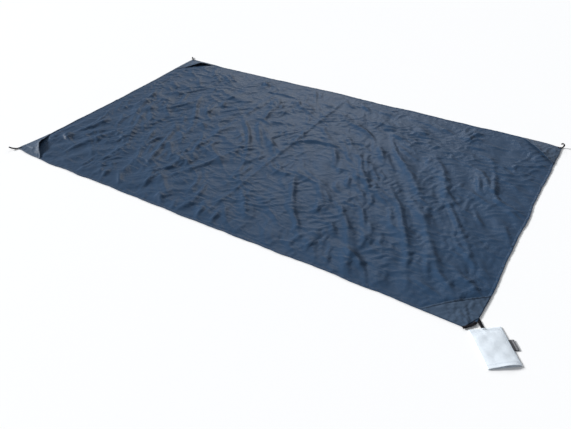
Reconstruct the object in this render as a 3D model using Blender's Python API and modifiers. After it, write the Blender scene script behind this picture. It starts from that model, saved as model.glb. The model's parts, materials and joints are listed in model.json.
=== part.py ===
"""Camp blanket: a thin ground sheet with four corner pockets, peg loops and a stuff pouch.

The sheet lies on the ground with its middle at the origin. +X runs along its length, +Y
across its width and +Z up. The pouch is tied to the corner at +X, -Y.
"""

import math

import bmesh
import bpy
from mathutils import Vector

# The sheet as it lies, in metres.
SHEET_LENGTH = 2.005
SHEET_WIDTH = 1.180
SHEET_THICKNESS = 0.002
BLUNT_ALONG = 0.022          # how much of the pouch's corner is folded in, along the length
BLUNT_ACROSS = 0.052         # and across the width

# Gap that two touching pieces keep.
GAP = 0.0003

# Corner pockets: right-angled panels, sewn along two legs and open on the long side.
POCKET_LEG = 0.160
POCKET_INSET = 0.006         # from the sheet's edge to the panel's sewn legs
POCKET_RISE = 0.0135         # how far the free edge stands off the sheet at its middle
POCKET_THICKNESS = 0.001
POCKET_TIP = 0.020           # where the panel's blunt tip starts, along each leg
BAND_CLEARANCE = 0.001       # from the corner band to the pocket beside it

# Webbing, used for the peg loops, the corner band and the pouch's strap.
TAPE_WIDTH = 0.010
TAPE_THICKNESS = 0.001
LOOP_WIDTH = 0.008
LOOP_LENGTH = 0.034
LOOP_EYE = 0.009             # clear height inside a loop
LOOP_CLEARANCE = 0.0018      # from the corner's tip to the line a loop turns on
LOOP_LINE_HEIGHT = 0.0022    # height of that line over the ground
LOOP_TILTS = {"left": 12.0, "far": 12.0, "right": 62.0}   # degrees over the ground

# Bar tacks: short blocks of dense stitching.
TACK_LENGTH = 0.009
TACK_WIDTH = 0.0022
TACK_HEIGHT = 0.0007

# Corner band, sewn along the blunt corner, with one end left standing out.
BAND_OVERHANG = 0.008        # past the sheet's long edge
BAND_OVERLAP = 0.004         # how much of its width is sewn down on the sheet
BAND_FREE_END = 0.020        # from the blunt edge's upper end to the band's
BAND_RISE = 0.0011
BAND_TACK_SETBACK = 0.006    # from the ends of its sewn part to its bar tacks

# Strap from the corner to the pouch.
STRAP_LENGTH = 0.030         # between the two lines it bends on
STRAP_REACH = 0.0028         # from the blunt corner's upper end to the first of them
STRAP_CLEARANCE = 0.0018     # from each bending line to the strap's end

# Stuff pouch.
POUCH_LENGTH = 0.138
POUCH_WIDTH = 0.094
POUCH_HEADING = -51.2        # degrees from +X to the pouch's long axis, towards its mouth
POUCH_STRAP_OFFSET = 0.0050  # the strap sits this far from the middle of the closed end
POUCH_CLEARANCE = 0.0030     # from its bending line to the pouch's closed end
POUCH_PANEL = 0.001
POUCH_MOUTH_RISE = 0.0135    # clear height of the mouth at its middle
POUCH_END_RISE = 0.004       # clear height inside at the closed end
POUCH_CORNER = 0.008         # radius of the back panel's corners
POUCH_INSET = 0.003          # from the back panel's edge to the front panel's
POUCH_BAND = 0.013           # flat sewn band at the closed end

# Sewn-in label, a folded tab on the pouch's side seam.
LABEL_LENGTH = 0.037
LABEL_REACH = 0.013
LABEL_THICKNESS = 0.0006
LABEL_FOLD = 0.0011          # half the height of the fold
LABEL_PLACE = 0.50           # its middle, as a share of the pouch's length
LABEL_CLEARANCE = 0.0020

CORNERS = {                  # side of the length, side of the width, turn of the pocket
    "left": (-1, -1, 0.0),
    "far": (-1, 1, -90.0),
    "right": (1, 1, 180.0),
    "near": (1, -1, 90.0),
}

SLATE = (0.085, 0.105, 0.135, 1.0)
BLACK = (0.010, 0.010, 0.012, 1.0)
THREAD = (0.030, 0.030, 0.045, 1.0)
ICE_BLUE = (0.66, 0.74, 0.82, 1.0)
CHARCOAL = (0.060, 0.062, 0.068, 1.0)


def clear_scene():
    for obj in list(bpy.data.objects):
        bpy.data.objects.remove(obj, do_unlink=True)


def finish(name, colour, roughness):
    material = bpy.data.materials.new(name)
    material.use_nodes = True
    shader = material.node_tree.nodes["Principled BSDF"]
    shader.inputs["Base Color"].default_value = colour
    shader.inputs["Roughness"].default_value = roughness
    shader.inputs["Metallic"].default_value = 0.0
    return material


def add(obj, material, parent=None):
    obj.data.materials.append(material)
    PARTS.objects.link(obj)
    obj.parent = parent
    return obj


def pivot(name, location, heading=0.0, tilt=0.0, parent=None):
    """An empty on a bending line: local +X points away from the piece it hangs on."""
    empty = bpy.data.objects.new(name, None)
    empty.empty_display_size = 0.01
    PARTS.objects.link(empty)
    empty.parent = parent
    empty.location = location
    empty.rotation_euler = (0.0, -math.radians(tilt), math.radians(heading))
    return empty


def cloth_panel(name, columns, rows, place, thickness, side, material, parent=None):
    """A panel whose surface is place(u, v), with its thickness to one side of it."""
    bm = bmesh.new()
    bmesh.ops.create_grid(bm, x_segments=columns, y_segments=rows, size=0.5)
    for vert in bm.verts:
        vert.co = place(vert.co.x + 0.5, vert.co.y + 0.5)
    mesh = bpy.data.meshes.new(name)
    bm.to_mesh(mesh)
    bm.free()
    obj = add(bpy.data.objects.new(name, mesh), material, parent)
    wall = obj.modifiers.new("Thickness", "SOLIDIFY")
    wall.thickness = thickness
    wall.offset = side
    return obj


def flat_piece(name, outline, thickness, bottom, material, parent=None):
    """A flat outline of given thickness that stands on the height called bottom."""
    curve = bpy.data.curves.new(name, "CURVE")
    curve.dimensions = "2D"
    curve.fill_mode = "BOTH"
    curve.extrude = thickness / 2
    spline = curve.splines.new("POLY")
    spline.points.add(len(outline) - 1)
    for point, (x, y) in zip(spline.points, outline):
        point.co = (x, y, 0.0, 1.0)
    spline.use_cyclic_u = True
    obj = add(bpy.data.objects.new(name, curve), material, parent)
    obj.location.z = bottom + thickness / 2
    return obj


def rounded_outline(x0, x1, y0, y1, radius, steps=5):
    points = []
    corners = ((x1, y1, 0), (x0, y1, 90), (x0, y0, 180), (x1, y0, 270))
    for x, y, start in corners:
        cx = x - math.copysign(radius, x - (x0 + x1) / 2)
        cy = y - math.copysign(radius, y - (y0 + y1) / 2)
        for step in range(steps):
            angle = math.radians(start + 90 * step / (steps - 1))
            points.append((cx + radius * math.cos(angle), cy + radius * math.sin(angle)))
    return points


def ground_sheet():
    x, y = SHEET_LENGTH / 2, SHEET_WIDTH / 2
    outline = [(-x, -y), (x - BLUNT_ALONG, -y), (x, BLUNT_ACROSS - y), (x, y), (-x, y)]
    flat_piece("ground_sheet", outline, SHEET_THICKNESS, 0.0, CLOTH)


def corner_point(corner):
    along, across, _ = CORNERS[corner]
    return Vector((along * SHEET_LENGTH / 2, across * SHEET_WIDTH / 2, 0.0))


def pocket_tip(corner):
    """How far along its two legs a pocket's tip starts."""
    if corner != "near":
        return POCKET_TIP, POCKET_TIP
    slope = math.hypot(1 / BLUNT_ACROSS, 1 / BLUNT_ALONG)
    clear = 1 + (BAND_OVERLAP + BAND_CLEARANCE) * slope
    return (
        (clear - POCKET_INSET / BLUNT_ALONG) * BLUNT_ACROSS,
        (clear - POCKET_INSET / BLUNT_ACROSS) * BLUNT_ALONG,
    )


def corner_pocket(corner):
    first_tip, second_tip = pocket_tip(corner)

    def place(u, v):
        first = first_tip + (POCKET_LEG - first_tip) * v
        second = second_tip + (POCKET_LEG - second_tip) * v
        rise = POCKET_RISE * v * math.sin(math.pi * u)
        x = POCKET_INSET + (first - POCKET_INSET) * u
        y = POCKET_INSET + (second - POCKET_INSET) * (1 - u)
        return (x, y, rise)

    panel = cloth_panel(f"{corner}_pocket", 6, 2, place, POCKET_THICKNESS, 1, CLOTH)
    panel.location = corner_point(corner)
    panel.location.z = SHEET_THICKNESS + GAP
    panel.rotation_euler.z = math.radians(CORNERS[corner][2])


def peg_loop(corner):
    along, across, _ = CORNERS[corner]
    outward = Vector((along, across, 0.0)).normalized()
    root = corner_point(corner) + outward * LOOP_CLEARANCE
    root.z = LOOP_LINE_HEIGHT
    heading = math.degrees(math.atan2(outward.y, outward.x))
    hinge = pivot(f"{corner}_loop_line", root, heading, LOOP_TILTS[corner])
    swell = (LOOP_EYE + TAPE_THICKNESS) / 2 / 0.77       # 0.77 is the profile's own half height
    split = (TAPE_THICKNESS + GAP) / 2

    def place(u, v):
        turn = 2 * math.pi * u
        x = LOOP_LENGTH * (1 - math.cos(turn)) / 2
        z = -swell * math.sin(turn) * math.sin(turn / 2) - split * math.cos(turn / 2)
        return (x, LOOP_WIDTH * (v - 0.5), z)

    cloth_panel(f"{corner}_peg_loop", 20, 1, place, TAPE_THICKNESS, 0, WEBBING, hinge)


def bar_tack(name, location, heading, parent=None):
    bm = bmesh.new()
    bmesh.ops.create_cube(bm, size=1.0)
    bmesh.ops.scale(bm, vec=(TACK_WIDTH, TACK_LENGTH, TACK_HEIGHT), verts=bm.verts)
    mesh = bpy.data.meshes.new(name)
    bm.to_mesh(mesh)
    bm.free()
    tack = add(bpy.data.objects.new(name, mesh), STITCHING, parent)
    tack.location = location
    tack.rotation_euler.z = math.radians(heading)


def pocket_tack(corner):
    """The stitching that holds a loop's ends, beside the pocket's blunt tip."""
    along, across, _ = CORNERS[corner]
    outward = Vector((along, across, 0.0)).normalized()
    tip_middle = (POCKET_TIP + POCKET_INSET) / math.sqrt(2)
    place = corner_point(corner) - outward * (tip_middle - TACK_WIDTH)
    place.z = SHEET_THICKNESS + GAP + TACK_HEIGHT / 2
    bar_tack(f"{corner}_bar_tack", place, math.degrees(math.atan2(outward.y, outward.x)))


def blunt_edge():
    """Lower and upper end of the blunt corner's edge."""
    x, y = SHEET_LENGTH / 2, SHEET_WIDTH / 2
    return Vector((x - BLUNT_ALONG, -y, 0.0)), Vector((x, BLUNT_ACROSS - y, 0.0))


def corner_band():
    lower, upper = blunt_edge()
    along = (upper - lower).normalized()
    outward = Vector((along.y, -along.x, 0.0))
    heading = math.degrees(math.atan2(outward.y, outward.x))
    length = (upper - lower).length + BAND_OVERHANG - BAND_FREE_END
    start = lower - along * BAND_OVERHANG

    def place(u, v):
        rise = BAND_RISE * math.sin(math.pi * u)
        return (TAPE_WIDTH * u - BAND_OVERLAP, length * v, rise)

    band = cloth_panel("corner_band", 4, 6, place, TAPE_THICKNESS, 1, WEBBING)
    band.location = start + Vector((0.0, 0.0, SHEET_THICKNESS + GAP))
    band.rotation_euler.z = math.radians(heading)
    height = SHEET_THICKNESS + BAND_RISE + TAPE_THICKNESS + 2 * GAP + TACK_HEIGHT / 2
    for name, distance in (
        ("lower_band_tack", BAND_OVERHANG + BAND_TACK_SETBACK),
        ("upper_band_tack", length - BAND_TACK_SETBACK),
    ):
        place = start + along * distance - outward * (BAND_OVERLAP / 2)
        place.z = height
        bar_tack(name, place, heading)


def strap_and_pouch():
    heading = math.radians(POUCH_HEADING)
    run = Vector((math.cos(heading), math.sin(heading), 0.0))
    strap_line = blunt_edge()[1] + run * STRAP_REACH
    strap_line.z = TAPE_THICKNESS / 2 + GAP
    foot = strap_line + run * STRAP_LENGTH
    strap_pivot = pivot("strap_line", strap_line, POUCH_HEADING)
    x0, x1 = STRAP_CLEARANCE, STRAP_LENGTH - STRAP_CLEARANCE
    y = TAPE_WIDTH / 2
    outline = [(x0, -y), (x1, -y), (x1, y), (x0, y)]
    flat_piece("pouch_strap", outline, TAPE_THICKNESS, -TAPE_THICKNESS / 2, WEBBING, strap_pivot)

    pouch_pivot = pivot("pouch_line", foot, POUCH_HEADING)
    back_bottom = -foot.z
    y0 = -POUCH_WIDTH / 2 + POUCH_STRAP_OFFSET
    y1 = POUCH_WIDTH / 2 + POUCH_STRAP_OFFSET
    x0, x1 = POUCH_CLEARANCE, POUCH_CLEARANCE + POUCH_LENGTH
    back = rounded_outline(x0, x1, y0, y1, POUCH_CORNER)
    flat_piece("pouch_back", back, POUCH_PANEL, back_bottom, POUCH_CLOTH, pouch_pivot)
    seam_height = back_bottom + POUCH_PANEL + GAP
    band_columns, columns = 1, 8

    def front(u, v):
        """Flat over the sewn band, then rising from the closed end to the mouth."""
        share = (u * columns - band_columns) / (columns - band_columns)
        if share <= 0:
            x, rise = x0 + POUCH_INSET + (POUCH_BAND - POUCH_INSET) * u * columns, 0.0
        else:
            x = x0 + POUCH_BAND + (POUCH_LENGTH - POUCH_BAND) * share
            rise = POUCH_END_RISE + (POUCH_MOUTH_RISE - POUCH_END_RISE) * share
        arch = math.sin(math.pi * min(max(v, 0.0), 1.0)) ** 0.6
        y = y0 + POUCH_INSET + (POUCH_WIDTH - 2 * POUCH_INSET) * v
        return (x, y, seam_height + rise * arch)

    cloth_panel("pouch_front", columns, 10, front, POUCH_PANEL, 1, POUCH_CLOTH, pouch_pivot)
    tack_height = seam_height + POUCH_PANEL + 2 * GAP + TACK_HEIGHT / 2
    return pouch_pivot, y1, (x0 + (POUCH_INSET + POUCH_BAND) / 2, 0.0, tack_height)


def strap_tack(pouch_pivot, place):
    """The stitching that holds the strap's end, on the pouch's closed end."""
    bar_tack("strap_bar_tack", place, 0.0, pouch_pivot)


def label(pouch_pivot, seam_side):
    """A folded tab on the pouch's side seam, with its fold outwards."""
    middle = POUCH_CLEARANCE + POUCH_LENGTH * LABEL_PLACE
    height = LABEL_FOLD + LABEL_THICKNESS / 2 + GAP - pouch_pivot.location.z
    hinge = pivot("label_line", (middle, seam_side + LABEL_CLEARANCE, height), 90.0,
                  parent=pouch_pivot)

    def place(u, v):
        turn = math.pi * (u - 0.5)
        x = LABEL_REACH * math.cos(turn) ** 0.5 if 0 < u < 1 else 0.0
        return (x, LABEL_LENGTH * (v - 0.5), LABEL_FOLD * math.sin(turn))

    cloth_panel("label_tab", 12, 1, place, LABEL_THICKNESS, 0, LABEL_CLOTH, hinge)


clear_scene()
PARTS = bpy.data.collections.new("camp_blanket")
bpy.context.scene.collection.children.link(PARTS)
CLOTH = finish("sheet_cloth", SLATE, 0.45)
WEBBING = finish("webbing", BLACK, 0.75)
STITCHING = finish("stitching", THREAD, 0.8)
POUCH_CLOTH = finish("pouch_cloth", ICE_BLUE, 0.5)
LABEL_CLOTH = finish("label_cloth", CHARCOAL, 0.7)

ground_sheet()
for corner in CORNERS:
    corner_pocket(corner)
for corner in LOOP_TILTS:
    peg_loop(corner)
    pocket_tack(corner)
corner_band()
pouch_line, pouch_side, tack_spot = strap_and_pouch()
strap_tack(pouch_line, tack_spot)
label(pouch_line, pouch_side)
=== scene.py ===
import json
import math

import bmesh
import bpy
import numpy as np
from mathutils import Matrix, Vector


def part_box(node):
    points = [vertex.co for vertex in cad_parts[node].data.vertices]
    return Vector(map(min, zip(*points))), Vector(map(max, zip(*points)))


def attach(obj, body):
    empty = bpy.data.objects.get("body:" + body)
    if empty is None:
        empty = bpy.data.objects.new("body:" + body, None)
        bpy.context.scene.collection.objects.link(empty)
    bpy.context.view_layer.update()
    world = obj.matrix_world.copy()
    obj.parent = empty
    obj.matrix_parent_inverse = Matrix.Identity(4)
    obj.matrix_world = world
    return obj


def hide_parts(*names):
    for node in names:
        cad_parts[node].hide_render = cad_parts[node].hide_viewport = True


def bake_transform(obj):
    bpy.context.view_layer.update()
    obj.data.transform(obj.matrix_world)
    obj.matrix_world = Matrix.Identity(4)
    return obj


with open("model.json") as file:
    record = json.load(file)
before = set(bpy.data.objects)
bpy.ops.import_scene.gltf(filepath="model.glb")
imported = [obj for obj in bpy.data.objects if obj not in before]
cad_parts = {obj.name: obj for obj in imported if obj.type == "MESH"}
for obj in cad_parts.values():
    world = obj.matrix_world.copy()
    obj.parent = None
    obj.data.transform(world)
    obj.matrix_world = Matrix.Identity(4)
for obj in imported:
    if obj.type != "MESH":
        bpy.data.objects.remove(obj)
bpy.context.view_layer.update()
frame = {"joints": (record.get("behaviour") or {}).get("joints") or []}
scene = bpy.context.scene
up = Vector((0, 0, 1))


# ---- Viewpoint and studio ----------------------------------------------------------------
# The blanket lies flat on a white studio floor and is seen from over the corner that the
# pouch hangs on. Two distant soft lamps and an even pale surround light it.

eye = Vector((1.166, -1.766, 1.216))
azimuth, elevation, roll = math.radians(33.5), math.radians(36.52), math.radians(-1.57)
back = Vector((math.sin(azimuth) * math.cos(elevation),
               -math.cos(azimuth) * math.cos(elevation), math.sin(elevation)))
level = up.cross(back).normalized()
right = (level * math.cos(roll) + back.cross(level) * math.sin(roll)).normalized()
camera = bpy.data.objects.new("camera", bpy.data.cameras.new("camera"))
camera.data.lens, camera.data.sensor_width = 35.76, 36.0
pose = Matrix((right, back.cross(right), back)).transposed().to_4x4()
pose.translation = eye
camera.matrix_world = pose
scene.collection.objects.link(camera)
scene.camera = camera
scene.view_settings.view_transform = "Standard"

world = bpy.data.worlds.new("studio")
world.use_nodes = True
world.node_tree.nodes["Background"].inputs["Color"].default_value = (0.93, 0.96, 1.0, 1)
world.node_tree.nodes["Background"].inputs["Strength"].default_value = 0.34
scene.world = world


def new_object(name, mesh, *materials):
    obj = bpy.data.objects.new(name, mesh)
    scene.collection.objects.link(obj)
    for material in materials:
        mesh.materials.append(material)
    return obj


def mesh_from(name, points, faces, smooth=True):
    mesh = bpy.data.meshes.new(name)
    mesh.from_pydata([tuple(p) for p in points], [], faces)
    mesh.validate()
    if smooth:
        mesh.shade_smooth()
    return mesh


def node_material(name, colour, roughness):
    """A Principled material with its tree ready to be added to."""
    material = bpy.data.materials.new(name)
    material.use_nodes = True
    shader = material.node_tree.nodes["Principled BSDF"]
    shader.inputs["Base Color"].default_value = (*colour, 1)
    shader.inputs["Roughness"].default_value = roughness
    return material, material.node_tree, shader


def soft_lamp(name, place, spread, power):
    """A distant soft lamp: it lights the whole sheet evenly, from the side that it stands on."""
    lamp = bpy.data.objects.new(name, bpy.data.lights.new(name, "SUN"))
    lamp.data.angle, lamp.data.energy = spread, power
    lamp.location = place
    lamp.rotation_euler = (-Vector(place)).to_track_quat("-Z", "Y").to_euler()
    scene.collection.objects.link(lamp)


soft_lamp("far_side", (-1.5, 2.8, 1.8), math.radians(22), 0.5)
soft_lamp("window_side", (-2.4, -0.6, 1.15), math.radians(14), 4.7)

floor_size, floor_drop = 30.0, 0.0006
corners = [(x * floor_size / 2, y * floor_size / 2, -floor_drop)
           for x, y in ((-1, -1), (1, -1), (1, 1), (-1, 1))]
floor_material, _, _ = node_material("studio_floor", (0.95, 0.95, 0.95), 0.9)
floor = new_object("floor", mesh_from("floor", corners, [(0, 1, 2, 3)]), floor_material)


# ---- Ground sheet --------------------------------------------------------------------------
# One rectangle of thin coated nylon, slate navy, folded for packing and then laid out. It is
# cut a little larger than it lies, so the spare cloth stands in long soft ridges and crinkles.

sheet_low, sheet_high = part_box("ground_sheet")
length, width = sheet_high.x - sheet_low.x, sheet_high.y - sheet_low.y
cell = 0.00698
columns, rows = round(length / cell), round(width / cell)
cloth_wall = 0.0004
rest_height = 0.0022            # the cloth's middle layer over the floor where it lies flat

along = np.linspace(-length / 2, length / 2, columns + 1)
across = np.linspace(-width / 2, width / 2, rows + 1)
grid_x, grid_y = np.meshgrid(along, across, indexing="ij")


def on_sheet(share_along, share_down):
    """A place on the sheet from its shares of the length and of the width, far edge first."""
    return (-length / 2 + share_along * length, width / 2 - share_down * width)


def ridge(x, y, start, end, height, spread, bow=0.0):
    """A ridge of cloth between two places, bowed to one side, that fades at both ends."""
    (ax, ay), (bx, by) = on_sheet(*start), on_sheet(*end)
    run = math.hypot(bx - ax, by - ay)
    ux, uy = (bx - ax) / run, (by - ay) / run
    s = ((x - ax) * ux + (y - ay) * uy) / run
    side = -(x - ax) * uy + (y - ay) * ux - bow * run * 4 * s * (1 - s)
    fade = np.clip(np.sin(math.pi * np.clip(s, 0, 1)), 0, 1) ** 1.3
    crest = 0.3 * spread
    return height * fade * np.exp(-(np.sqrt(side * side + crest * crest) - crest) / spread)


long_ridges = (                  # start, end, height, spread, bow
    ((0.655, 0.20), (0.86, 0.74), 0.0095, 0.010, 0.05),
    ((0.83, 0.58), (0.975, 0.96), 0.0090, 0.010, -0.04),
    ((0.61, 0.36), (0.76, 0.72), 0.0080, 0.009, 0.08),
    ((0.72, 0.50), (0.90, 0.96), 0.0090, 0.010, 0.06),
    ((0.78, 0.24), (0.89, 0.56), 0.0085, 0.009, -0.06),
    ((0.81, 0.42), (0.95, 0.78), 0.0085, 0.009, 0.05),
    ((0.89, 0.22), (0.985, 0.52), 0.0070, 0.008, -0.05),
    ((0.57, 0.56), (0.71, 0.96), 0.0075, 0.009, -0.07),
    ((0.64, 0.62), (0.79, 0.94), 0.0065, 0.009, 0.04),
    ((0.33, 0.36), (0.47, 0.68), 0.0070, 0.008, 0.03),
    ((0.38, 0.34), (0.46, 0.56), 0.0065, 0.008, -0.03),
    ((0.42, 0.53), (0.35, 0.88), 0.0070, 0.008, 0.06),
    ((0.48, 0.50), (0.62, 0.43), 0.0070, 0.008, 0.20),
    ((0.50, 0.58), (0.60, 0.63), 0.0065, 0.008, -0.22),
    ((0.53, 0.19), (0.67, 0.34), 0.0070, 0.008, 0.10),
    ((0.04, 0.36), (0.14, 0.70), 0.0085, 0.009, 0.05),
    ((0.11, 0.44), (0.21, 0.84), 0.0085, 0.009, -0.05),
    ((0.16, 0.26), (0.28, 0.62), 0.0070, 0.008, 0.04),
    ((0.24, 0.22), (0.12, 0.54), 0.0070, 0.008, 0.06),
    ((0.09, 0.60), (0.03, 0.93), 0.0070, 0.008, 0.05),
    ((0.14, 0.68), (0.10, 0.93), 0.0065, 0.008, -0.04),
    ((0.22, 0.56), (0.31, 0.94), 0.0070, 0.008, 0.05),
)


def waves(x, y, size, seed, heading=0.0, fan=180.0, count=30):
    """Soft random waves of about the given size, from -1 to 1. Their crests run along the
    heading, give or take the fan, both in degrees."""
    draw = np.random.default_rng(seed)
    total = np.zeros_like(x)
    for _ in range(count):
        turn = math.radians(heading + 90.0 + draw.normal(0, fan))
        number = 2 * math.pi / (size * draw.uniform(0.7, 1.6))
        total += np.sin((x * math.cos(turn) + y * math.sin(turn)) * number
                        + draw.uniform(0, 2 * math.pi))
    return total / math.sqrt(count)


def crests(x, y, size, seed, heading, fan):
    """Narrow wandering crests with broad troughs between them, from 0 to 1."""
    drift_x = x + 0.05 * waves(x, y, 0.55, seed + 50)
    drift_y = y + 0.05 * waves(x, y, 0.55, seed + 60)
    crest = np.clip(1 - np.abs(waves(drift_x, drift_y, size, seed, heading, fan)) / 0.55, 0, 1)
    reach = np.clip(waves(x, y, 0.22, seed + 70) * 0.9 + 0.45, 0, 1)
    return crest * crest * (3 - 2 * crest) * reach


short_ridges = 250
short_reach, short_rise = (0.07, 0.24), (0.0020, 0.0068)
highest_ridge = 0.011           # where ridges cross, their sum is held under this


def ridge_height(x, y):
    """Height of the long ridges, and of many shorter ones that lean the same way."""
    drift_x = x + 0.012 * waves(x, y, 0.34, 91)
    drift_y = y + 0.012 * waves(x, y, 0.34, 92)
    height = sum(ridge(drift_x, drift_y, start, end, rise, 1.3 * spread, bow)
                 for start, end, rise, spread, bow in long_ridges)
    draw = np.random.default_rng(11)
    for _ in range(short_ridges):
        u, v = draw.uniform(0.02, 0.98), draw.uniform(0.03, 0.97)
        if u < 0.48:
            lean = draw.normal(58 if v > 0.3 else 25, 26)
        else:
            lean = draw.normal(12 if v < 0.24 else 52, 15)
        lean = math.radians(lean)
        reach = draw.uniform(*short_reach)
        end = (u + reach * math.cos(lean) / length, v + reach * math.sin(lean) / width)
        rise = draw.uniform(*short_rise)
        bow = draw.normal(0, 0.09)
        height = height + ridge(drift_x, drift_y, (u, v), end, rise, 0.007 + 0.8 * rise, bow)
    return highest_ridge * np.tanh(height / highest_ridge)


laid_swell, laid_crest = 0.0016, 0.0036


def laid_height(x, y):
    """Height of the spare cloth before it settles."""
    height = laid_swell * (1 + waves(x, y, 0.30, 3)) + ridge_height(x, y)
    return height + laid_crest * crests(x, y, 0.070, 8, 45, 32)


def edge_distance(x, y):
    return np.minimum(length / 2 - np.abs(x), width / 2 - np.abs(y))


def pocket_share(x, y):
    """1 under the corner pockets and 0 well away from them."""
    reach = 0.17
    total = (length / 2 - np.abs(x)) + (width / 2 - np.abs(y))
    return np.clip((reach * 1.06 - total) / (reach * 0.14), 0, 1)


height = laid_height(grid_x, grid_y)
edge_calm = 0.05                # the relief fades over this strip along the edges
calm = np.clip(edge_distance(grid_x, grid_y) / edge_calm, 0.12, 1)
height *= calm * (1 - 0.8 * pocket_share(grid_x, grid_y))


def grid_faces(n_columns, n_rows):
    first = np.arange(n_columns)[:, None] * (n_rows + 1) + np.arange(n_rows)[None, :]
    quads = np.stack([first, first + n_rows + 1, first + n_rows + 2, first + 1], -1)
    return quads.reshape(-1, 4).tolist()


points = np.stack([grid_x, grid_y, height + rest_height], -1)
sheet_mesh = mesh_from("ground_sheet_cloth", points.reshape(-1, 3), grid_faces(columns, rows))
sheet = new_object("ground_sheet_cloth", sheet_mesh)

pins = sheet.vertex_groups.new(name="hem")
hem_points = np.nonzero(edge_distance(grid_x, grid_y).ravel() < 1e-6)[0]
pins.add([int(i) for i in hem_points], 1.0, "REPLACE")
floor.modifiers.new("ground", "COLLISION")
floor.collision.thickness_outer = 0.001
settle = sheet.modifiers.new("settle", "CLOTH")
settle_frames = 26
cloth = settle.settings
cloth.quality, cloth.mass, cloth.air_damping = 5, 0.07, 2.0
cloth.tension_stiffness = cloth.compression_stiffness = 40
cloth.shear_stiffness, cloth.bending_stiffness = 15, 1.0
cloth.tension_damping = cloth.compression_damping = cloth.shear_damping = 8
cloth.shrink_min = -0.012
cloth.vertex_group_mass = "hem"
settle.collision_settings.distance_min = 0.0012
settle.point_cache.frame_end = settle_frames
for step in range(1, settle_frames + 1):
    scene.frame_set(step)
graph = bpy.context.evaluated_depsgraph_get()
settled = bpy.data.meshes.new_from_object(sheet.evaluated_get(graph))
flat = np.zeros(len(settled.vertices) * 3)
settled.vertices.foreach_get("co", flat)
points = flat.reshape(columns + 1, rows + 1, 3)
bpy.data.meshes.remove(settled)
sheet.modifiers.clear()
sheet.vertex_groups.clear()
floor.modifiers.clear()
scene.frame_set(1)


# Packing leaves sharp fold lines, and the hem's thread draws the edges into shallow scallops.
# Settling about halves the relief, so ridges and swells are laid on again afterwards.
# Each fold: 0 for across the sheet or 1 for along it, its share, and where it starts and ends.

fold_lines = ((0, 0.339, 0.0, 1.0), (0, 0.505, 0.0, 1.0), (1, 0.22, 0.61, 0.93))
fold_rise, fold_reach = 0.0042, 0.008


def fold_height(x, y):
    """Rise of the cloth beside its packing folds."""
    share_along, share_down = x / length + 0.5, 0.5 - y / width
    rise = np.zeros_like(x)
    for axis, place, start, end in fold_lines:
        off_fold, down_fold = ((share_along - place) * length, share_down) if axis == 0 else (
            (share_down - place) * width, share_along)
        inside = np.clip((down_fold - start) * 12, 0, 1) * np.clip((end - down_fold) * 12, 0, 1)
        rise += fold_rise * inside * np.exp(-np.abs(off_fold) / fold_reach)
    return rise


edge_bows = {                    # share along the edge, how far it is drawn in
    "near_side": ((0, 0), (0.05, -0.010), (0.12, -0.013), (0.25, -0.008), (0.5, -0.006), (0.63, -0.002),
                  (0.77, 0.005), (0.9, 0.001), (1, 0)),
    "far_side": ((0, 0), (0.06, 0.005), (0.14, 0.009), (0.24, 0.005), (0.36, 0.0), (0.49, -0.011),
                 (0.58, 0.0), (0.7, -0.009), (0.78, -0.004), (0.92, -0.012), (1, -0.004)),
    "left_end": ((0, 0), (0.1, -0.002), (0.22, 0.007), (0.42, 0.013), (0.6, 0.015), (0.86, 0.014),
                 (0.95, 0.006), (1, 0)),
    "right_end": ((0, -0.002), (0.2, -0.002), (0.37, 0.001), (0.47, -0.004), (0.68, 0.0), (0.86, -0.006),
                  (0.92, -0.004), (0.955, 0.0), (1, 0)),
}


def drawn_edge(edge, share, run, seed):
    """How far an edge is drawn in: its slow bow, and the small scallops that its thread makes."""
    places, bows = zip(*edge_bows[edge])
    steps = np.linspace(0, 1, 101)
    smooth = np.convolve(np.pad(np.interp(steps, places, bows), 4, "edge"), np.ones(9) / 9, "valid")
    free = np.clip((np.minimum(share, 1 - share) * run - 0.02) / 0.10, 0, 1)
    scallops = 0.0016 * waves(share * run, share * 0, 0.15, seed)
    puckers = 0.0006 * waves(share * run, share * 0, 0.045, seed + 1)
    return np.interp(share, steps, smooth) * np.clip(free * 3, 0, 1) + (scallops + puckers) * free


shares = np.linspace(0, 1, 1501)
edge_draw = {edge: drawn_edge(edge, shares, run, seed) for edge, run, seed in (
    ("left_end", width, 31), ("right_end", width, 33), ("near_side", length, 35), ("far_side", length, 37))}


def drawn_in(x, y):
    """Where a place on the flat cloth ends up once its edges are drawn in."""
    x, y = np.asarray(x, float), np.asarray(y, float)
    reach = 0.16
    end_share = np.clip(1 - (length / 2 - np.abs(x)) / reach, 0, 1) ** 1.5
    side_share = np.clip(1 - (width / 2 - np.abs(y)) / reach, 0, 1) ** 1.5
    down, ahead = np.clip(0.5 - y / width, 0, 1), np.clip(x / length + 0.5, 0, 1)
    end_pull = np.where(x < 0, np.interp(down, shares, edge_draw["left_end"]),
                        np.interp(down, shares, edge_draw["right_end"]))
    side_pull = np.where(y < 0, np.interp(ahead, shares, edge_draw["near_side"]),
                         np.interp(ahead, shares, edge_draw["far_side"]))
    return x - np.sign(x) * end_pull * end_share, y - np.sign(y) * side_pull * side_share


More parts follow.
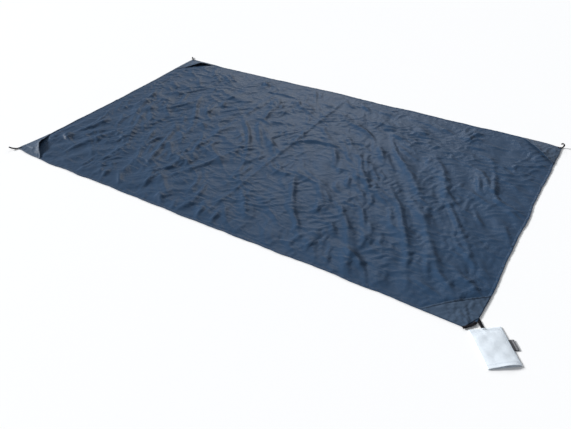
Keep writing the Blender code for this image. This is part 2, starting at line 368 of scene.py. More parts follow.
kept_swell = 0.0016
right_half = np.clip(grid_x / 0.5 + 0.5, 0, 1)
swells = ((1 - right_half) * waves(grid_x, grid_y, 0.085, 5, 70, 24)
          + right_half * waves(grid_x, grid_y, 0.085, 6, -57, 20))
kept_relief = (ridge_height(grid_x, grid_y) + kept_swell * (swells + 1)
               + kept_swell * crests(grid_x, grid_y, 0.085, 8, 50, 24))
kept_relief *= np.clip(edge_distance(grid_x, grid_y) / edge_calm, 0, 1)
points[..., 2] += fold_height(grid_x, grid_y) + kept_relief * (1 - pocket_share(grid_x, grid_y))
moved_x, moved_y = drawn_in(points[..., 0], points[..., 1])
sheet_mesh.vertices.foreach_set(
    "co", np.stack([moved_x, moved_y, points[..., 2]], -1).reshape(-1))
sheet_mesh.update()

# The cloth's own look: a fine plain weave under a coating, with tiny creases that stay from
# packing and slightly uneven dye.

def node(tree, kind, inputs=None, **settings):
    made = tree.nodes.new(kind)
    for name, value in settings.items():
        setattr(made, name, value)
    for name, value in (inputs or {}).items():
        if isinstance(value, bpy.types.NodeSocket):
            tree.links.new(value, made.inputs[name])
        else:
            made.inputs[name].default_value = value
    return made


def shader_group(name, inputs, outputs):
    """An empty shader group with the given sockets: (name, kind, start value)."""
    group = bpy.data.node_groups.new(name, "ShaderNodeTree")
    for label, kind, value in inputs:
        socket = group.interface.new_socket(name=label, in_out="INPUT", socket_type=kind)
        if value is not None:
            socket.default_value = value
    for label, kind in outputs:
        group.interface.new_socket(name=label, in_out="OUTPUT", socket_type=kind)
    return group, group.nodes.new("NodeGroupInput"), group.nodes.new("NodeGroupOutput")


weave, ends, out = shader_group(
    "plain_weave",
    (("Place", "NodeSocketVector", None), ("Pitch", "NodeSocketFloat", 0.0006)),
    (("Height", "NodeSocketFloat"),))
turns = node(weave, "ShaderNodeMath", {0: 2 * math.pi, 1: ends.outputs["Pitch"]}, operation="DIVIDE")
scaled = node(weave, "ShaderNodeVectorMath", {0: ends.outputs["Place"]}, operation="SCALE")
weave.links.new(turns.outputs[0], scaled.inputs["Scale"])
split = node(weave, "ShaderNodeSeparateXYZ", {0: scaled.outputs["Vector"]})
warp = node(weave, "ShaderNodeMath", {0: split.outputs["X"]}, operation="SINE")
weft = node(weave, "ShaderNodeMath", {0: split.outputs["Y"]}, operation="SINE")
cross = node(weave, "ShaderNodeMath", {0: warp.outputs[0], 1: weft.outputs[0]}, operation="MULTIPLY")
weave.links.new(cross.outputs[0], out.inputs["Height"])

crinkle, ends, out = shader_group(
    "packing_creases",
    (("Place", "NodeSocketVector", None), ("Size", "NodeSocketFloat", 0.03)),
    (("Height", "NodeSocketFloat"), ("Tone", "NodeSocketFloat")))
density = node(crinkle, "ShaderNodeMath", {0: 1.0, 1: ends.outputs["Size"]}, operation="DIVIDE")
folds = node(crinkle, "ShaderNodeTexNoise", {"Vector": ends.outputs["Place"], "Detail": 3.0,
                                             "Roughness": 0.45, "Distortion": 0.6},
             noise_type="RIDGED_MULTIFRACTAL")
folds.inputs["Offset"].default_value, folds.inputs["Gain"].default_value = 1.0, 1.6
crinkle.links.new(density.outputs[0], folds.inputs["Scale"])
crinkle.links.new(folds.outputs["Fac"], out.inputs["Height"])
cloudy = node(crinkle, "ShaderNodeTexNoise", {"Vector": ends.outputs["Place"], "Scale": 5.0,
                                              "Detail": 3.0})
crinkle.links.new(cloudy.outputs["Fac"], out.inputs["Tone"])


def cloth_material(name, colour, tone, roughness, sheen, crease, crease_size, pitch, turn=0.0):
    """Thin woven cloth: colour between two tones, weave and packing creases in its normal."""
    material, tree, shader = node_material(name, colour, roughness)
    shader.inputs["Sheen Weight"].default_value = sheen
    shader.inputs["Sheen Roughness"].default_value = 0.45
    shader.inputs["Specular IOR Level"].default_value = 0.11
    place = node(tree, "ShaderNodeTexCoord")
    turned = node(tree, "ShaderNodeMapping", {"Vector": place.outputs["Object"]})
    turned.inputs["Rotation"].default_value = (0, 0, turn)
    threads = node(tree, "ShaderNodeGroup", node_tree=weave)
    tree.links.new(turned.outputs[0], threads.inputs["Place"])
    threads.inputs["Pitch"].default_value = pitch
    drawn = node(tree, "ShaderNodeMapping", {"Vector": place.outputs["Object"]})
    drawn.inputs["Rotation"].default_value = (0, 0, turn - 0.75)
    drawn.inputs["Scale"].default_value = (0.42, 1.0, 1.0)
    creases = node(tree, "ShaderNodeGroup", node_tree=crinkle)
    tree.links.new(drawn.outputs[0], creases.inputs["Place"])
    creases.inputs["Size"].default_value = crease_size
    low = node(tree, "ShaderNodeBump", {"Height": creases.outputs["Height"], "Strength": 1.0,
                                        "Distance": crease})
    high = node(tree, "ShaderNodeBump", {"Height": threads.outputs["Height"], "Strength": 0.25,
                                         "Distance": pitch / 5, "Normal": low.outputs["Normal"]})
    tree.links.new(high.outputs["Normal"], shader.inputs["Normal"])
    mixed = node(tree, "ShaderNodeMix", {"Factor": creases.outputs["Tone"]}, data_type="RGBA")
    mixed.inputs["A"].default_value = (*[c * (1 - tone) for c in colour], 1)
    mixed.inputs["B"].default_value = (*[c * (1 + tone) for c in colour], 1)
    tree.links.new(mixed.outputs["Result"], shader.inputs["Base Color"])
    gloss = node(tree, "ShaderNodeMapRange", {"Value": creases.outputs["Tone"],
                                              "To Min": roughness - 0.06, "To Max": roughness + 0.06})
    tree.links.new(gloss.outputs[0], shader.inputs["Roughness"])
    return material


nylon = cloth_material("slate_nylon", (0.022, 0.051, 0.101), 0.12, 0.42, 0.05, 0.0013, 0.055, 0.0006)
sheet_mesh.materials.append(nylon)
blunt_along, blunt_across = 0.022, 0.052
tip_bulge = 0.009
tip_lower = Vector((length / 2 - blunt_along, -width / 2))
tip_upper = Vector((length / 2, blunt_across - width / 2))
tip_run = (tip_upper - tip_lower).normalized()
tip_out = Vector((tip_run.y, -tip_run.x))
tip_length = (tip_upper - tip_lower).length


def tip_edge(distance):
    """How far the rounded tip of the pouch's corner stands out, at a distance along it."""
    return tip_bulge * math.sin(math.pi * min(max(distance / tip_length, 0), 1)) ** 0.8


def beyond_tip(x, y):
    """How far a place lies outside the folded-in tip."""
    spot = Vector((x, y)) - tip_lower
    return spot.dot(tip_out) - tip_edge(spot.dot(tip_run))


edit = bmesh.new()
edit.from_mesh(sheet_mesh)
outside = [f for f in edit.faces if beyond_tip(*f.calc_center_median()[:2]) > 0]
bmesh.ops.delete(edit, geom=outside, context="FACES")
for vert in edit.verts:
    excess = beyond_tip(vert.co.x, vert.co.y)
    inside = abs(vert.co.x - length / 2) > 0.012 or vert.co.y < tip_upper.y - 0.004
    if excess > 0 or (excess > -0.6 * cell and vert.is_boundary and inside):
        vert.co -= tip_out.to_3d() * excess
edit.to_mesh(sheet_mesh)
edit.free()

thickness = sheet.modifiers.new("wall", "SOLIDIFY")
thickness.thickness, thickness.offset = cloth_wall, 0
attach(sheet, "sheet")
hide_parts("ground_sheet")


def cloth_height(x, y):
    """Height of the settled sheet at a place."""
    u = min(max((x + length / 2) / length * columns, 0), columns - 1e-6)
    v = min(max((y + width / 2) / width * rows, 0), rows - 1e-6)
    i, j = int(u), int(v)
    s, t = u - i, v - j
    corner = points[i:i + 2, j:j + 2, 2]
    return float((1 - s) * (1 - t) * corner[0, 0] + s * (1 - t) * corner[1, 0]
                 + (1 - s) * t * corner[0, 1] + s * t * corner[1, 1])


# ---- Hem of the ground sheet ---------------------------------------------------------------
# The sheet's own edge, turned over twice and sewn down with one row of dark thread. The thread
# draws it in a little, so it puckers.

hem_width, hem_rise = 0.0085, 0.0007


def loft(name, rings, material, closed_run=False):
    """A skin over rings of points, with its map in metres: across the ring, then along it."""
    count, around = len(rings), len(rings[0])
    faces = []
    runs = count if closed_run else count - 1
    for i in range(runs):
        for j in range(around):
            k, m = (i + 1) % count, (j + 1) % around
            faces.append((i * around + j, k * around + j, k * around + m, i * around + m))
    if not closed_run:
        faces.append(tuple(range(around)))
        faces.append(tuple((count - 1) * around + j for j in reversed(range(around))))
    flat_points = [p for ring in rings for p in ring]
    mesh = mesh_from(name, flat_points, faces)
    edit = bmesh.new()
    edit.from_mesh(mesh)
    bmesh.ops.recalc_face_normals(edit, faces=edit.faces)
    reach = [0.0]
    for one, two in zip(rings, rings[1:]):
        reach.append(reach[-1] + (Vector(two[0]) - Vector(one[0])).length)
    girth = [0.0]
    for one, two in zip(rings[0], rings[0][1:]):
        girth.append(girth[-1] + (Vector(two) - Vector(one)).length)
    layer = edit.loops.layers.uv.new("cloth_map")
    for face in edit.faces:
        for corner in face.loops:
            i, j = divmod(corner.vert.index, around)
            corner[layer].uv = (girth[j], reach[i])
    edit.to_mesh(mesh)
    edit.free()
    return new_object(name, mesh, material)


def hem_profile(span, rise):
    """Section of a turned edge: distance in from the edge, height over the cloth's middle."""
    return ((span, 0.0), (span - 0.0006, rise), (0.0014, rise * 1.1), (0.0002, rise * 0.7),
            (-0.0004, 0.0), (0.0002, -rise * 0.7), (0.0014, -rise), (span - 0.0006, -rise * 0.8))


def border_run(step):
    """Places along the sheet's edge, with the direction inwards at each."""
    x, y = length / 2, width / 2
    tips = [Vector((-x, -y))]
    for share in np.linspace(0, 1, 9):
        tips.append(tip_lower.lerp(tip_upper, share) + tip_out * tip_edge(share * tip_length))
    tips += [Vector((x, y)), Vector((-x, y))]
    places = []
    for k, tip in enumerate(tips):
        after, before = tips[(k + 1) % len(tips)], tips[k - 1]
        run, last = (after - tip).normalized(), (tip - before).normalized()
        inward, previous = Vector((-run.y, run.x)), Vector((-last.y, last.x))
        mitre = (inward + previous) / (1 + inward.dot(previous))
        places.append((tip, mitre))
        count = max(1, round((after - tip).length / step))
        for i in range(1, count):
            places.append((tip.lerp(after, i / count), inward))
    return places


def on_cloth(place, lift):
    x, y = drawn_in(place.x, place.y)
    return Vector((float(x), float(y), cloth_height(place.x, place.y) + lift))


border = border_run(0.006)
profile = hem_profile(hem_width, hem_rise)
puckers = waves(np.arange(len(border)) * 0.006, np.zeros(len(border)), 0.018, 21)
rings = []
for (place, inward), pucker in zip(border, puckers):
    rings.append([on_cloth(place + inward * d, h + 0.00025 * pucker) for d, h in profile])
hem = loft("ground_sheet_hem", rings, nylon, closed_run=True)
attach(hem, "sheet")


# Sewing thread: one small spindle for each stitch, set along a run of points.

thread, tree, shader = node_material("dark_thread", (0.022, 0.020, 0.038), 0.75)
place = node(tree, "ShaderNodeTexCoord")
grain = node(tree, "ShaderNodeTexNoise", {"Vector": place.outputs["Object"], "Scale": 900.0})
shades = node(tree, "ShaderNodeMix", {"Factor": grain.outputs["Fac"]}, data_type="RGBA")
shades.inputs["A"].default_value = (0.014, 0.013, 0.026, 1)
shades.inputs["B"].default_value = (0.034, 0.031, 0.055, 1)
tree.links.new(shades.outputs["Result"], shader.inputs["Base Color"])

stitch_tree = bpy.data.node_groups.new("stitch_row", "GeometryNodeTree")
sockets = stitch_tree.interface
sockets.new_socket(name="Run", in_out="INPUT", socket_type="NodeSocketGeometry")
for label, value in (("Pitch", 0.004), ("Length", 0.003), ("Width", 0.0006)):
    sockets.new_socket(name=label, in_out="INPUT", socket_type="NodeSocketFloat").default_value = value
sockets.new_socket(name="Finish", in_out="INPUT", socket_type="NodeSocketMaterial")
sockets.new_socket(name="Stitches", in_out="OUTPUT", socket_type="NodeSocketGeometry")
given = node(stitch_tree, "NodeGroupInput")
curve = node(stitch_tree, "GeometryNodeMeshToCurve", {"Mesh": given.outputs["Run"]})
spaced = node(stitch_tree, "GeometryNodeResampleCurve", {"Curve": curve.outputs["Curve"]}, mode="LENGTH")
stitch_tree.links.new(given.outputs["Pitch"], spaced.inputs["Length"])
spindle = node(stitch_tree, "GeometryNodeMeshUVSphere", {"Segments": 6, "Rings": 4, "Radius": 0.5})
heading = node(stitch_tree, "GeometryNodeInputTangent")
aim = node(stitch_tree, "FunctionNodeAlignRotationToVector", {"Vector": heading.outputs["Tangent"]},
           axis="X")
size = node(stitch_tree, "ShaderNodeCombineXYZ", {"X": given.outputs["Length"],
                                                  "Y": given.outputs["Width"],
                                                  "Z": given.outputs["Width"]})
placed = node(stitch_tree, "GeometryNodeInstanceOnPoints",
              {"Points": spaced.outputs["Curve"], "Instance": spindle.outputs["Mesh"],
               "Rotation": aim.outputs["Rotation"], "Scale": size.outputs["Vector"]})
real = node(stitch_tree, "GeometryNodeRealizeInstances", {"Geometry": placed.outputs["Instances"]})
soft = node(stitch_tree, "GeometryNodeSetShadeSmooth", {"Geometry": real.outputs["Geometry"]})
finished = node(stitch_tree, "GeometryNodeSetMaterial", {"Geometry": soft.outputs["Geometry"],
                                                         "Material": given.outputs["Finish"]})
result = node(stitch_tree, "NodeGroupOutput")
stitch_tree.links.new(finished.outputs["Geometry"], result.inputs["Stitches"])


def stitches(name, runs, body, pitch=0.004, stitch=0.003, girth=0.0006, finish=None):
    """Rows of stitches along runs of points, as one plain mesh that rides on a body."""
    mesh = bpy.data.meshes.new(name)
    verts, edges = [], []
    for run in runs:
        edges += [(len(verts) + i, len(verts) + i + 1) for i in range(len(run) - 1)]
        verts += [tuple(p) for p in run]
    mesh.from_pydata(verts, edges, [])
    obj = new_object(name, mesh)
    row = obj.modifiers.new("stitches", "NODES")
    row.node_group = stitch_tree
    values = {"Pitch": pitch, "Length": stitch, "Width": girth, "Finish": finish or thread}
    for item in stitch_tree.interface.items_tree:
        if item.in_out == "INPUT" and item.name in values:
            row[item.identifier] = values[item.name]
    graph = bpy.context.evaluated_depsgraph_get()
    obj.data = bpy.data.meshes.new_from_object(obj.evaluated_get(graph))
    obj.modifiers.clear()
    bpy.data.meshes.remove(mesh)
    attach(obj, body)
    return obj


stitch_in = 0.0068
lift = hem_rise + 0.0001
sewn = [on_cloth(place + inward * stitch_in, lift) for place, inward in border]
hem_thread = stitches("hem_stitches", [sewn + sewn[:1]], "sheet")


# ---- Corner pockets ------------------------------------------------------------------------
# A right-angled panel of the same nylon in each corner, caught in the hem along two legs. Its
# long edge is hemmed and stands open, so that sand or stones can go in to hold the sheet down.

leg = 0.160
pocket_rise = 0.0125
edge_hem = 0.008
# The panels are the sheet's own nylon. Their colour is painted lighter than the sheet's as painted light on
# the raised panels.
pocket_nylon_painted_lighter = cloth_material("pocket_nylon_painted_lighter", (0.045, 0.074, 0.120), 0.14, 0.5, 0.05, 0.0012, 0.045, 0.0006)
corner_signs = {"left": (-1, -1), "far": (-1, 1), "right": (1, 1), "near": (1, -1)}
pocket_slack = {"left": (0.58, 1.45, 1.3), "far": (0.66, 1.2, 2.2), "right": (0.45, 0.8, 0.8),
                "near": (0.5, 0.45, 1.3)}       # where it stands highest, how high, how sharply
pocket_setback = {"left": 0.011, "far": 0.004, "right": 0.0, "near": 0.0}


def pocket_tip(corner):
    """Where the panel starts along its two legs: at the corner, or behind the folded tip."""
    return (blunt_along, blunt_across) if corner == "near" else (0.004, 0.004)


def pocket_point(corner, u, v, creases):
    """A place on a pocket: u runs from one leg to the other, v from the tip to the open edge."""
    sign_x, sign_y = corner_signs[corner]
    tip_a, tip_b = pocket_tip(corner)
    back_off = pocket_setback[corner] * math.sin(math.pi * u) ** 1.5 * v ** 4
    a = 0.001 + (tip_a + (leg - tip_a) * v) * u - back_off
    b = 0.001 + (tip_b + (leg - tip_b) * v) * (1 - u) - back_off
    x, y = sign_x * (length / 2 - a), sign_y * (width / 2 - b)
    peak, slack, sharp = pocket_slack[corner]
    skewed = u ** (math.log(0.5) / math.log(peak))
    rise = pocket_rise * slack * v ** 1.6 * math.sin(math.pi * skewed) ** sharp
    drift = min(a, b, 0.02) / 0.02
    lift = 0.0011 + rise + creases(x, y) * drift
    return on_cloth(Vector((x, y)), lift)


pocket_columns, pocket_rows = 48, 34
for seed, corner in enumerate(corner_signs):
    draw = np.random.default_rng(40 + seed)
    folds = []
    for _ in range(14):
        sign_x, sign_y = corner_signs[corner]
        a, b = draw.uniform(0.01, 0.09, 2)
        start = Vector((sign_x * (length / 2 - a), sign_y * (width / 2 - b)))
        turn = draw.uniform(0, 2 * math.pi)
        reach = draw.uniform(0.03, 0.07)
        folds.append((start, start + Vector((math.cos(turn), math.sin(turn))) * reach,
                      draw.uniform(0.001, 0.0026)))

    def creases(x, y):
        total = 0.0
        for start, end, rise in folds:
            run = end - start
            s = ((x - start.x) * run.x + (y - start.y) * run.y) / run.length_squared
            if 0 < s < 1:
                side = (-(x - start.x) * run.y + (y - start.y) * run.x) / run.length
                total += rise * math.sin(math.pi * s) * math.exp(-abs(side) / 0.006)
        return total

    panel_points = [pocket_point(corner, i / pocket_columns, j / pocket_rows, creases)
                    for i in range(pocket_columns + 1) for j in range(pocket_rows + 1)]
    panel_mesh = mesh_from(f"{corner}_pocket_cloth", panel_points,
                           grid_faces(pocket_columns, pocket_rows))
    edit = bmesh.new()
    edit.from_mesh(panel_mesh)
    bmesh.ops.recalc_face_normals(edit, faces=edit.faces)
    if sum(f.normal.z for f in edit.faces) < 0:
        bmesh.ops.reverse_faces(edit, faces=edit.faces)
    edit.to_mesh(panel_mesh)
    edit.free()
    panel = new_object(f"{corner}_pocket_cloth", panel_mesh, pocket_nylon_painted_lighter)
    wall = panel.modifiers.new("wall", "SOLIDIFY")
    wall.thickness, wall.offset = cloth_wall, 1
    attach(panel, "sheet")
    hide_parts(f"{corner}_pocket")
    depth = leg / math.sqrt(2)
    rings, sewn = [], []
    profile = hem_profile(edge_hem, 0.0006)
    for i in range(pocket_columns * 2 + 1):
        u = 0.02 + 0.96 * i / (pocket_columns * 2)
        ring = []
        for d, h in profile:
            ring.append(pocket_point(corner, u, 1 - d / depth, creases) + up * (h + cloth_wall / 2))
        rings.append(ring)
        sewn.append(pocket_point(corner, u, 1 - 0.006 / depth, creases) + up * 0.0011)
    fold = loft(f"{corner}_pocket_hem", rings, pocket_nylon_painted_lighter)
    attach(fold, "sheet")
    sewing = stitches(f"{corner}_pocket_stitches", [sewn], "sheet")


# ---- Webbing: peg loops, corner band and pouch strap ---------------------------------------
# Narrow black woven tape. A folded length in each of three corners takes a tent peg; in the
# fourth it binds the blunt tip, and a second short length leads to the pouch.

webbing, tree, shader = node_material("black_webbing", (0.012, 0.012, 0.014), 0.7)
shader.inputs["Specular IOR Level"].default_value = 0.12
place = node(tree, "ShaderNodeUVMap", uv_map="cloth_map")
threads = node(tree, "ShaderNodeGroup", node_tree=weave)
tree.links.new(place.outputs["UV"], threads.inputs["Place"])
threads.inputs["Pitch"].default_value = 0.0016
bump = node(tree, "ShaderNodeBump", {"Height": threads.outputs["Height"], "Strength": 0.8,
                                     "Distance": 0.0003})
tree.links.new(bump.outputs["Normal"], shader.inputs["Normal"])
# Painted shade in the weave's dips and painted highlight on its crests: the tape's colour follows the
# weave's height.
weave_shade = node(tree, "ShaderNodeMapRange", {"Value": threads.outputs["Height"], "From Min": -1.0})
shades = node(tree, "ShaderNodeMix", {"Factor": weave_shade.outputs[0]}, data_type="RGBA")
shades.inputs["A"].default_value = (0.004, 0.004, 0.006, 1)
shades.inputs["B"].default_value = (0.013, 0.013, 0.017, 1)
tree.links.new(shades.outputs["Result"], shader.inputs["Base Color"])


def tape(name, path, faces_up, tape_width, tape_wall, material):
    """A flat tape along a path; faces_up gives the direction its flat side looks at each point."""
    rings = []
    for i, point in enumerate(path):
        ahead = path[min(i + 1, len(path) - 1)] - path[max(i - 1, 0)]
        side = faces_up[i].cross(ahead).normalized()
        out_ = ahead.cross(side).normalized()
        w, t = tape_width / 2, tape_wall / 2
        section = ((-w, 0), (-w * 0.92, -t), (0, -t * 1.15), (w * 0.92, -t),
                   (w, 0), (w * 0.92, t), (0, t * 1.15), (-w * 0.92, t))
        rings.append([point + side * a + out_ * b for a, b in section])
    return loft(name, rings, material)


def thread_block(name, middle, direction, body, block=0.009, depth=0.0024, finish=None):
    """A bar tack: stitches laid tight side by side."""
    direction = direction.normalized()
    start, end = middle - direction * block / 2, middle + direction * block / 2
    return stitches(name, [[start, middle, end]], body, pitch=0.00055, stitch=0.0008, girth=depth,
                    finish=finish)


tape_wall = 0.0010
loop_width, loop_length, loop_swell, tape_split = 0.006, 0.034, 0.0014, 0.0006
loop_bends = {"left": (0.0, 40.0), "far": (10.0, -16.0), "right": (20.0, 195.0)}   # start, turn
joints = {joint["name"]: joint for joint in frame["joints"]}

for corner, (lean, bend) in loop_bends.items():
    sign_x, sign_y = corner_signs[corner]
    outward = Vector((sign_x, sign_y, 0)).normalized()
    line = Vector(joints[f"{corner}_loop_fold"]["pos_m"])
    lean, bend = math.radians(lean), math.radians(bend)
    path, normals = [], []
    inner = ((-0.020, 0.0027), (-0.014, 0.0026), (-0.008, 0.0020), (-0.003, 0.0008))
    for d, z in inner:
        path.append(line + outward * d + up * (z - tape_split))
        normals.append(up)
    steps = 30
    for k in range(1, steps):
        turn = 2 * math.pi * k / steps
        share = (1 - math.cos(turn)) / 2
        angle = lean + bend * share
        reach = (math.sin(angle) - math.sin(lean)) * loop_length / bend
        lift = (math.cos(lean) - math.cos(angle)) * loop_length / bend
        square = up * math.cos(angle) - outward * math.sin(angle)
        gap = -loop_swell * math.sin(turn) * math.sin(turn / 2) - tape_split * math.cos(turn / 2)
        path.append(line + outward * reach + up * lift + square * gap)
    for d, z in reversed(inner):
        path.append(line + outward * d + up * (z + tape_split))
    for k in range(len(inner), len(path)):
        ahead = path[min(k + 1, len(path) - 1)] - path[k - 1]
        normals.append(ahead.cross(outward.cross(up)).normalized() * -1)
    loop = tape(f"{corner}_peg_loop_tape", path, normals, loop_width, tape_wall, webbing)
    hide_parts(f"{corner}_peg_loop")
    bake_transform(loop)
    low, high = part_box(f"{corner}_bar_tack")
    middle = (low + high) / 2
    tack = thread_block(f"{corner}_thread_block", Vector((middle.x, middle.y, line.z + 0.0036)),
                        outward.cross(up), "sheet")
    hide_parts(f"{corner}_bar_tack")

band_line = ((-0.0060, -0.0026), (0.0000, -0.0002), (0.0120, 0.0032), (0.0240, 0.0068), (0.0340, 0.0066),
             (0.0400, 0.0045))               # along the tip, out from it
path = []
for k in range(25):
    place = k / 24 * (len(band_line) - 1)
    i = min(int(place), len(band_line) - 2)
    share = place - i
    distance, out_ = (one * (1 - share) + two * share for one, two in zip(band_line[i], band_line[i + 1]))
    spot = tip_lower + tip_run * distance + tip_out * out_
    over = rest_height + 0.0018 + 0.0004 * math.sin(k * 0.9)
    if k < 4:
        over -= 0.0013 * (1 - k / 4) ** 2
    path.append(Vector((spot.x, spot.y, over)))
band = tape("corner_band_tape", path, [up] * len(path), 0.010, tape_wall, webbing)
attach(band, "sheet")
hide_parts("corner_band")
for name, k in (("lower_band_tack", 7), ("upper_band_tack", 20)):
    spot = path[k] - tip_out.to_3d() * 0.0025 + up * 0.0007
    tack = thread_block(name + "_thread", spot, tip_run.to_3d(), "sheet")
    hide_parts(name)

strap_line = Vector(joints["strap_fold"]["pos_m"])
pouch_line = Vector(joints["pouch_fold"]["pos_m"])
run = (pouch_line - strap_line).normalized()
strap_height = 0.0011
path = [strap_line + run * d + up * (strap_height - strap_line.z)
        for d in (-0.016, -0.012, -0.008, -0.004, 0.0, 0.004, 0.008, 0.0118, 0.015)]
upper_strap = tape("pouch_strap_upper", path, [up] * len(path), 0.010, tape_wall, webbing)
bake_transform(upper_strap)
path = [strap_line + run * d + up * (z - strap_line.z)
        for d, z in ((0.015, 0.0011), (0.019, 0.0011), (0.023, 0.0012), (0.0265, 0.0013), (0.030, 0.0015),
                     (0.034, 0.0017), (0.038, 0.0018), (0.043, 0.0018))]
lower_strap = tape("pouch_strap_lower", path, [up] * len(path), 0.010, tape_wall, webbing)
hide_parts("pouch_strap")
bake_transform(lower_strap)


# ---- Stuff pouch ---------------------------------------------------------------------------
# Two panels of pale ice-blue nylon sewn on three sides. It lies empty, creased from having
# been packed full, with its hemmed mouth gaping a little away from the sheet.

ice_blue = cloth_material("ice_blue_nylon", (0.73, 0.80, 0.87), 0.02, 0.5, 0.1, 0.0003, 0.03,
                          0.0006, math.radians(51.2))
glow = ice_blue.node_tree.nodes["Principled BSDF"]
glow.inputs["Subsurface Weight"].default_value = 0.15
glow.inputs["Subsurface Radius"].default_value = (1.0, 1.0, 1.0)
glow.inputs["Subsurface Scale"].default_value = 0.004
side = Vector((-run.y, run.x, 0))
pouch_start, pouch_length = 0.003, 0.138
pouch_half, pouch_shift = 0.047, 0.005
band_depth = 0.013
pouch_wall = 0.0005


def pouch_place(d, s, z):
    """Distance from the fold line towards the mouth, sideways from the middle, and up."""
    return pouch_line + run * (pouch_start + d) + side * (pouch_shift + s) + up * (z - pouch_line.z)


def pouch_top(d, s):
    """Height of the front panel's outside: flat band, then a pillow that opens at the mouth."""
    share = d / pouch_length
    edge = max(0.0, 1 - abs(s / pouch_half) ** 2.6)
    filled = np.clip((d - band_depth) / 0.022, 0, 1)
    pillow = (0.0060 - 0.0012 * share) * filled ** 0.8 * edge ** 0.6
    closed = 0.0020 * min(1.0, d / 0.004) * edge ** 0.3 * (1 - filled)
    strap_bump = 0.0011 * math.exp(-((s + pouch_shift) / 0.0062) ** 4) * (1 - filled)
    lip = (s - 0.012) / 0.034
    gape = 0.0036 * max(0.0, 1 - lip * lip) ** 1.4 * max(0.0, (share - 0.74) / 0.26) ** 1.8
    dent = 0
    for cd, cs, wide, deep in ((0.042, -0.012, 0.014, 0.0020), (0.072, 0.016, 0.016, 0.0018),
                               (0.098, -0.018, 0.014, 0.0018), (0.030, 0.020, 0.011, 0.0014),
                               (0.060, -0.030, 0.010, 0.0014), (0.110, 0.028, 0.012, 0.0014)):
        dent += deep * math.exp(-((d - cd) ** 2 + (s - cs) ** 2) / wide ** 2)
    crease = 0
    for cd, cs, turn, reach, high in ((0.028, -0.020, 0.3, 0.020, 0.0012),
                                      (0.050, 0.010, 1.2, 0.022, 0.0012),
                                      (0.080, -0.010, -0.5, 0.024, 0.0012),
                                      (0.105, 0.012, 0.9, 0.018, 0.0010),
                                      (0.024, 0.026, -0.6, 0.016, 0.0010)):
        down, off = ((d - cd) * math.cos(turn) + (s - cs) * math.sin(turn),
                       -(d - cd) * math.sin(turn) + (s - cs) * math.cos(turn))
        crease += 0.45 * high * math.exp(-(down / reach) ** 2 - abs(off) / 0.0035)
    return 0.0016 + pillow + closed + strap_bump + gape + (crease - dent) * edge * filled


rows_d, columns_s = 56, 36
verts, faces = [], []
for i in range(rows_d + 1):
    d = pouch_length * i / rows_d
    for j in range(columns_s + 1):
        s = -pouch_half * math.cos(math.pi * j / columns_s)
        verts.append(pouch_place(d, s, pouch_top(d, s)))
top_count = len(verts)
index = {}
for i in range(rows_d + 1):
    for j in range(columns_s + 1):
        if i == 0 or j in (0, columns_s):
            index[i, j] = i * (columns_s + 1) + j
        else:
            d = pouch_length * i / rows_d
            s = -pouch_half * math.cos(math.pi * j / columns_s)
            index[i, j] = len(verts)
            verts.append(pouch_place(d, s, 0.0006))
for i in range(rows_d):
    for j in range(columns_s):
        k = i * (columns_s + 1) + j
        faces.append((k, k + columns_s + 1, k + columns_s + 2, k + 1))
        faces.append((index[i, j], index[i, j + 1], index[i + 1, j + 1], index[i + 1, j]))
pouch_mesh = mesh_from("pouch_cloth", verts, faces)
edit = bmesh.new()
edit.from_mesh(pouch_mesh)
bmesh.ops.recalc_face_normals(edit, faces=edit.faces)
if sum(f.normal.z for f in edit.faces if f.calc_center_median().z > 0.004) < 0:
    bmesh.ops.reverse_faces(edit, faces=edit.faces)
edit.to_mesh(pouch_mesh)
edit.free()
pouch = new_object("pouch_cloth", pouch_mesh, ice_blue)
wall = pouch.modifiers.new("wall", "SOLIDIFY")
wall.thickness, wall.offset = pouch_wall, -1
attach(pouch, "pouch")
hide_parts("pouch_back", "pouch_front")

pale_thread, _, _ = node_material("pale_thread", (0.55, 0.62, 0.70), 0.8)
band_row = [pouch_place(band_depth, s, pouch_top(band_depth, s) + 0.0002)
            for s in np.linspace(-pouch_half * 0.96, pouch_half * 0.96, 24)]
mouth_row = [pouch_place(pouch_length - 0.012, s, pouch_top(pouch_length - 0.012, s) + 0.0002)
             for s in np.linspace(-pouch_half * 0.96, pouch_half * 0.96, 24)]
side_rows = [[pouch_place(d, s, pouch_top(d, s) + 0.0002)
              for d in np.linspace(0.003, pouch_length - 0.002, 50)]
             for s in (-pouch_half + 0.003, pouch_half - 0.003)]
stitches("pouch_stitches", [band_row, mouth_row, *side_rows], "pouch", finish=pale_thread)
tack = thread_block("strap_thread_block", pouch_place(0.0050, -pouch_shift, 0.0050), side, "pouch",
                    finish=pale_thread)
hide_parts("strap_bar_tack")


# ---- Label tab -------------------------------------------------------------------------------
# A short length of charcoal woven ribbon, folded in half and caught in the pouch's side seam.
# Its outer fold is light grey. It is left blank.

ribbon, tree, shader = node_material("label_ribbon", (0.06, 0.062, 0.068), 0.7)
place = node(tree, "ShaderNodeUVMap", uv_map="cloth_map")
threads = node(tree, "ShaderNodeGroup", node_tree=weave)
tree.links.new(place.outputs["UV"], threads.inputs["Place"])
threads.inputs["Pitch"].default_value = 0.0009
bump = node(tree, "ShaderNodeBump", {"Height": threads.outputs["Height"], "Strength": 0.6,
                                     "Distance": 0.0002})
tree.links.new(bump.outputs["Normal"], shader.inputs["Normal"])
split = node(tree, "ShaderNodeSeparateXYZ", {0: place.outputs["UV"]})

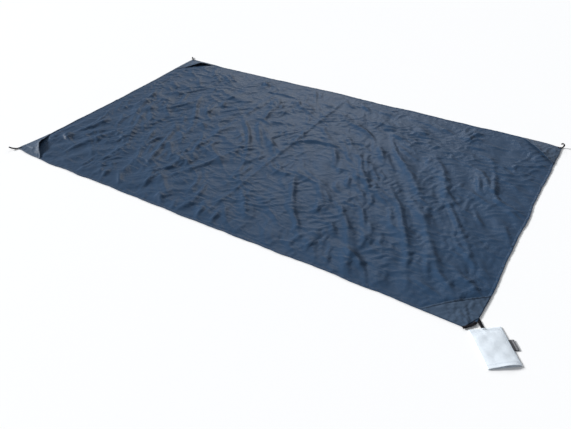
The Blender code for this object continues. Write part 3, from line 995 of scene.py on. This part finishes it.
label_line = Vector(joints["label_fold"]["pos_m"])
label_length, label_reach, label_wall = 0.037, 0.013, 0.0006
path, faces_up = [], []
for d, z in ((-0.006, 0.0012), (-0.003, 0.0013), (0.0, 0.0012), (0.003, 0.0013), (0.006, 0.0012),
             (0.009, 0.0010), (0.0115, 0.0008), (0.0128, 0.0010), (0.0132, 0.0016),
             (0.0128, 0.0022), (0.0115, 0.0026), (0.009, 0.0030), (0.006, 0.0032),
             (0.003, 0.0030), (0.0, 0.0028), (-0.003, 0.0026), (-0.006, 0.0025)):
    path.append(label_line + side * d + up * (z - label_line.z))
for k in range(len(path)):
    ahead = path[min(k + 1, len(path) - 1)] - path[max(k - 1, 0)]
    faces_up.append(ahead.cross(run).normalized() * -1)
girth = sum((b - a).length for a, b in zip(path, path[1:]))
from_fold = node(tree, "ShaderNodeMath", {0: split.outputs["Y"], 1: girth / 2}, operation="SUBTRACT")
distance = node(tree, "ShaderNodeMath", {0: from_fold.outputs[0]}, operation="ABSOLUTE")
edge_stripe = node(tree, "ShaderNodeMapRange", {"Value": distance.outputs[0], "From Min": 0.0022,
                                                "From Max": 0.0026, "To Min": 1.0, "To Max": 0.0})
panel_depth = node(tree, "ShaderNodeMath", {0: distance.outputs[0], 1: 0.0068}, operation="SUBTRACT")
panel_near = node(tree, "ShaderNodeMath", {0: panel_depth.outputs[0]}, operation="ABSOLUTE")
panel_face = node(tree, "ShaderNodeMapRange", {"Value": panel_near.outputs[0], "From Min": 0.0024,
                                               "From Max": 0.0028, "To Min": 0.45, "To Max": 0.0})
pale = node(tree, "ShaderNodeMath", {0: edge_stripe.outputs[0], 1: panel_face.outputs[0]},
            operation="MAXIMUM")
shades = node(tree, "ShaderNodeMix", {"Factor": pale.outputs[0]}, data_type="RGBA")
shades.inputs["A"].default_value = (0.040, 0.041, 0.046, 1)
shades.inputs["B"].default_value = (0.42, 0.42, 0.44, 1)
tree.links.new(shades.outputs["Result"], shader.inputs["Base Color"])
label = tape("label_tab_ribbon", path, faces_up, label_length, label_wall, ribbon)
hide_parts("label_tab")
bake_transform(label)
